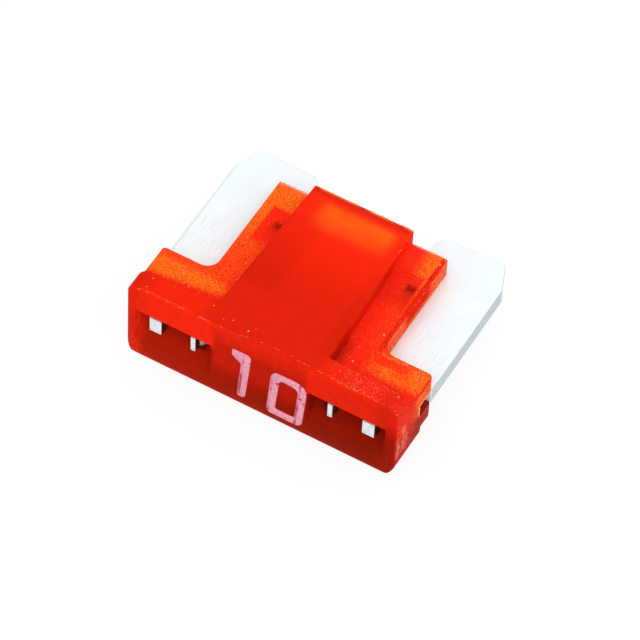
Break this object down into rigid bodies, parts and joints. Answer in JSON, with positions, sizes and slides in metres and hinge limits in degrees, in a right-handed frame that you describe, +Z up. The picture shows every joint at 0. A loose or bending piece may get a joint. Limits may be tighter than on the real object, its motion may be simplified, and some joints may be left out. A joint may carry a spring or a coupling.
{
  "type": "low-profile blade fuse",
  "caption": "Small plug-in fuse: a translucent red moulded housing with a thick numbered head and stepped ears, over a flat stamped element with chamfered contact blades.",
  "frame": {"origin": "middle of the footprint, on the flat underside that the fuse lies on", "axes": "+X across the head, +Y from the numbered face to the blade tips, +Z up through the thickness"},
  "size_m": [0.011, 0.0088, 0.0038],
  "materials": {
    "housing_plastic": "translucent red moulded plastic with a fine mould texture",
    "element_metal": "bright stamped zinc alloy with faint rolling scratches"
  },
  "bodies": {
    "root": {"housing": "housing_plastic", "fuse_element": "element_metal"}
  },
  "joints": []
}
